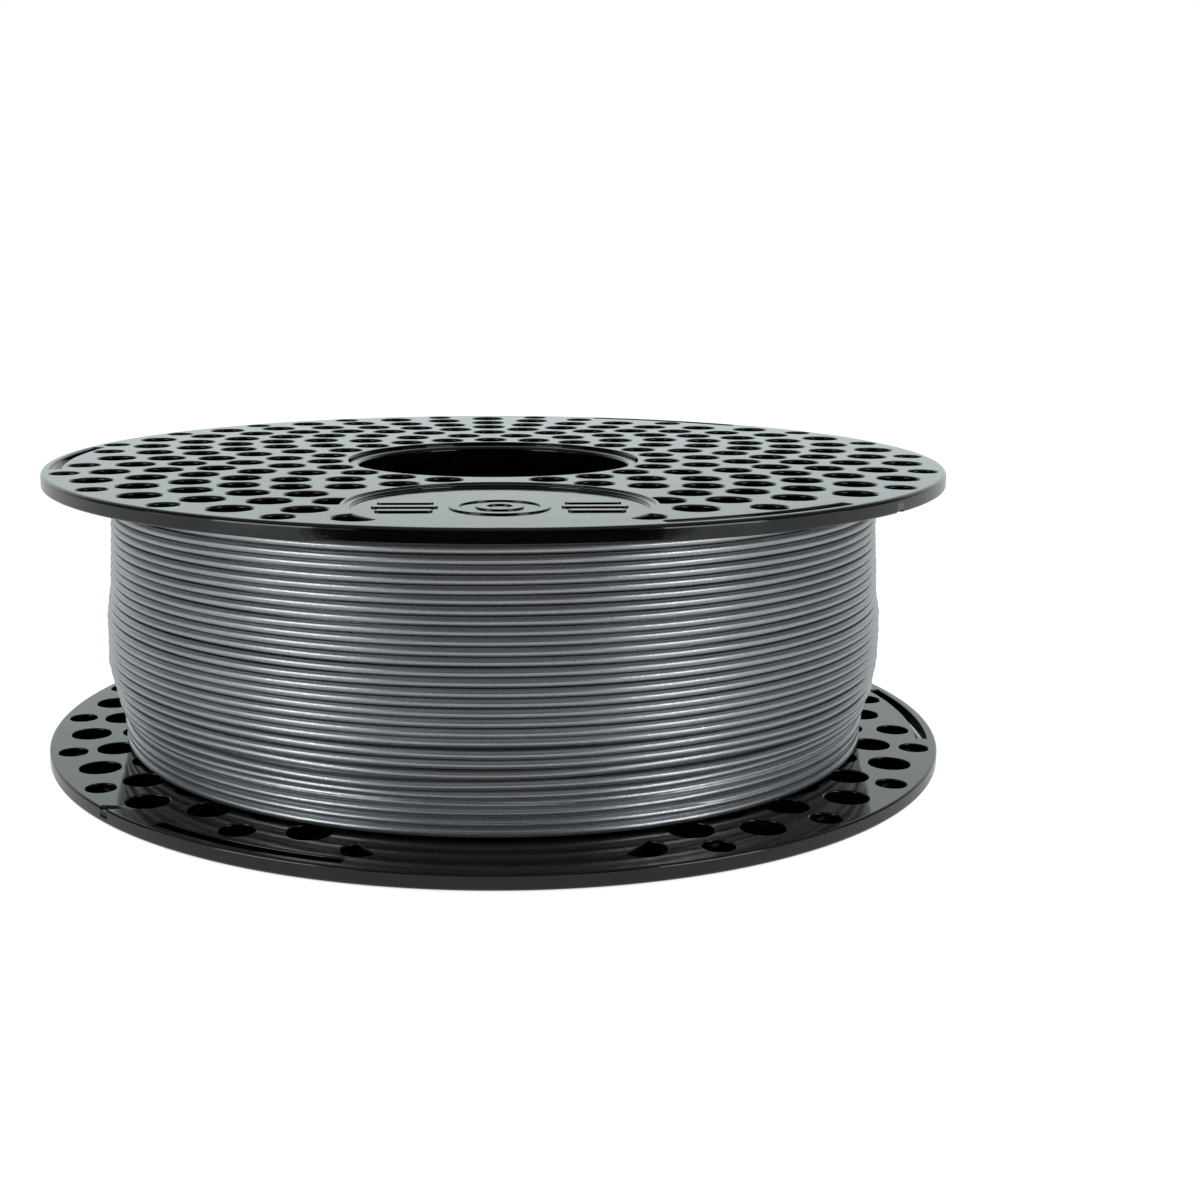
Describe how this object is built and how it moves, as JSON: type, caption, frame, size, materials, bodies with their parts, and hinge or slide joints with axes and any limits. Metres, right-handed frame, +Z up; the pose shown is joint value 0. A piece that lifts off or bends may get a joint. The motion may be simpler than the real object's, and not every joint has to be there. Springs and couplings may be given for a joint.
{
  "type": "filament spool",
  "caption": "Spool of printing filament: perforated round flanges on a hub with an open bore, wound full of thin round strand, with clip slots near the rims.",
  "frame": {"origin": "on the spool's axis, at the outer face of the lower flange", "axes": "+Z up along the spool's axis, -Y towards the round name pads of the flanges, +X to the right seen from the pads"},
  "size_m": [0.2, 0.2, 0.064],
  "materials": {
    "spool_plastic": "glossy black moulded plastic",
    "filament_silver": "satin metallic silver filament"
  },
  "bodies": {
    "root": {"upper_flange": "spool_plastic", "lower_flange": "spool_plastic", "bore_sleeve": "spool_plastic", "winding_drum": "spool_plastic", "filament_winding": "filament_silver"}
  },
  "joints": []
}
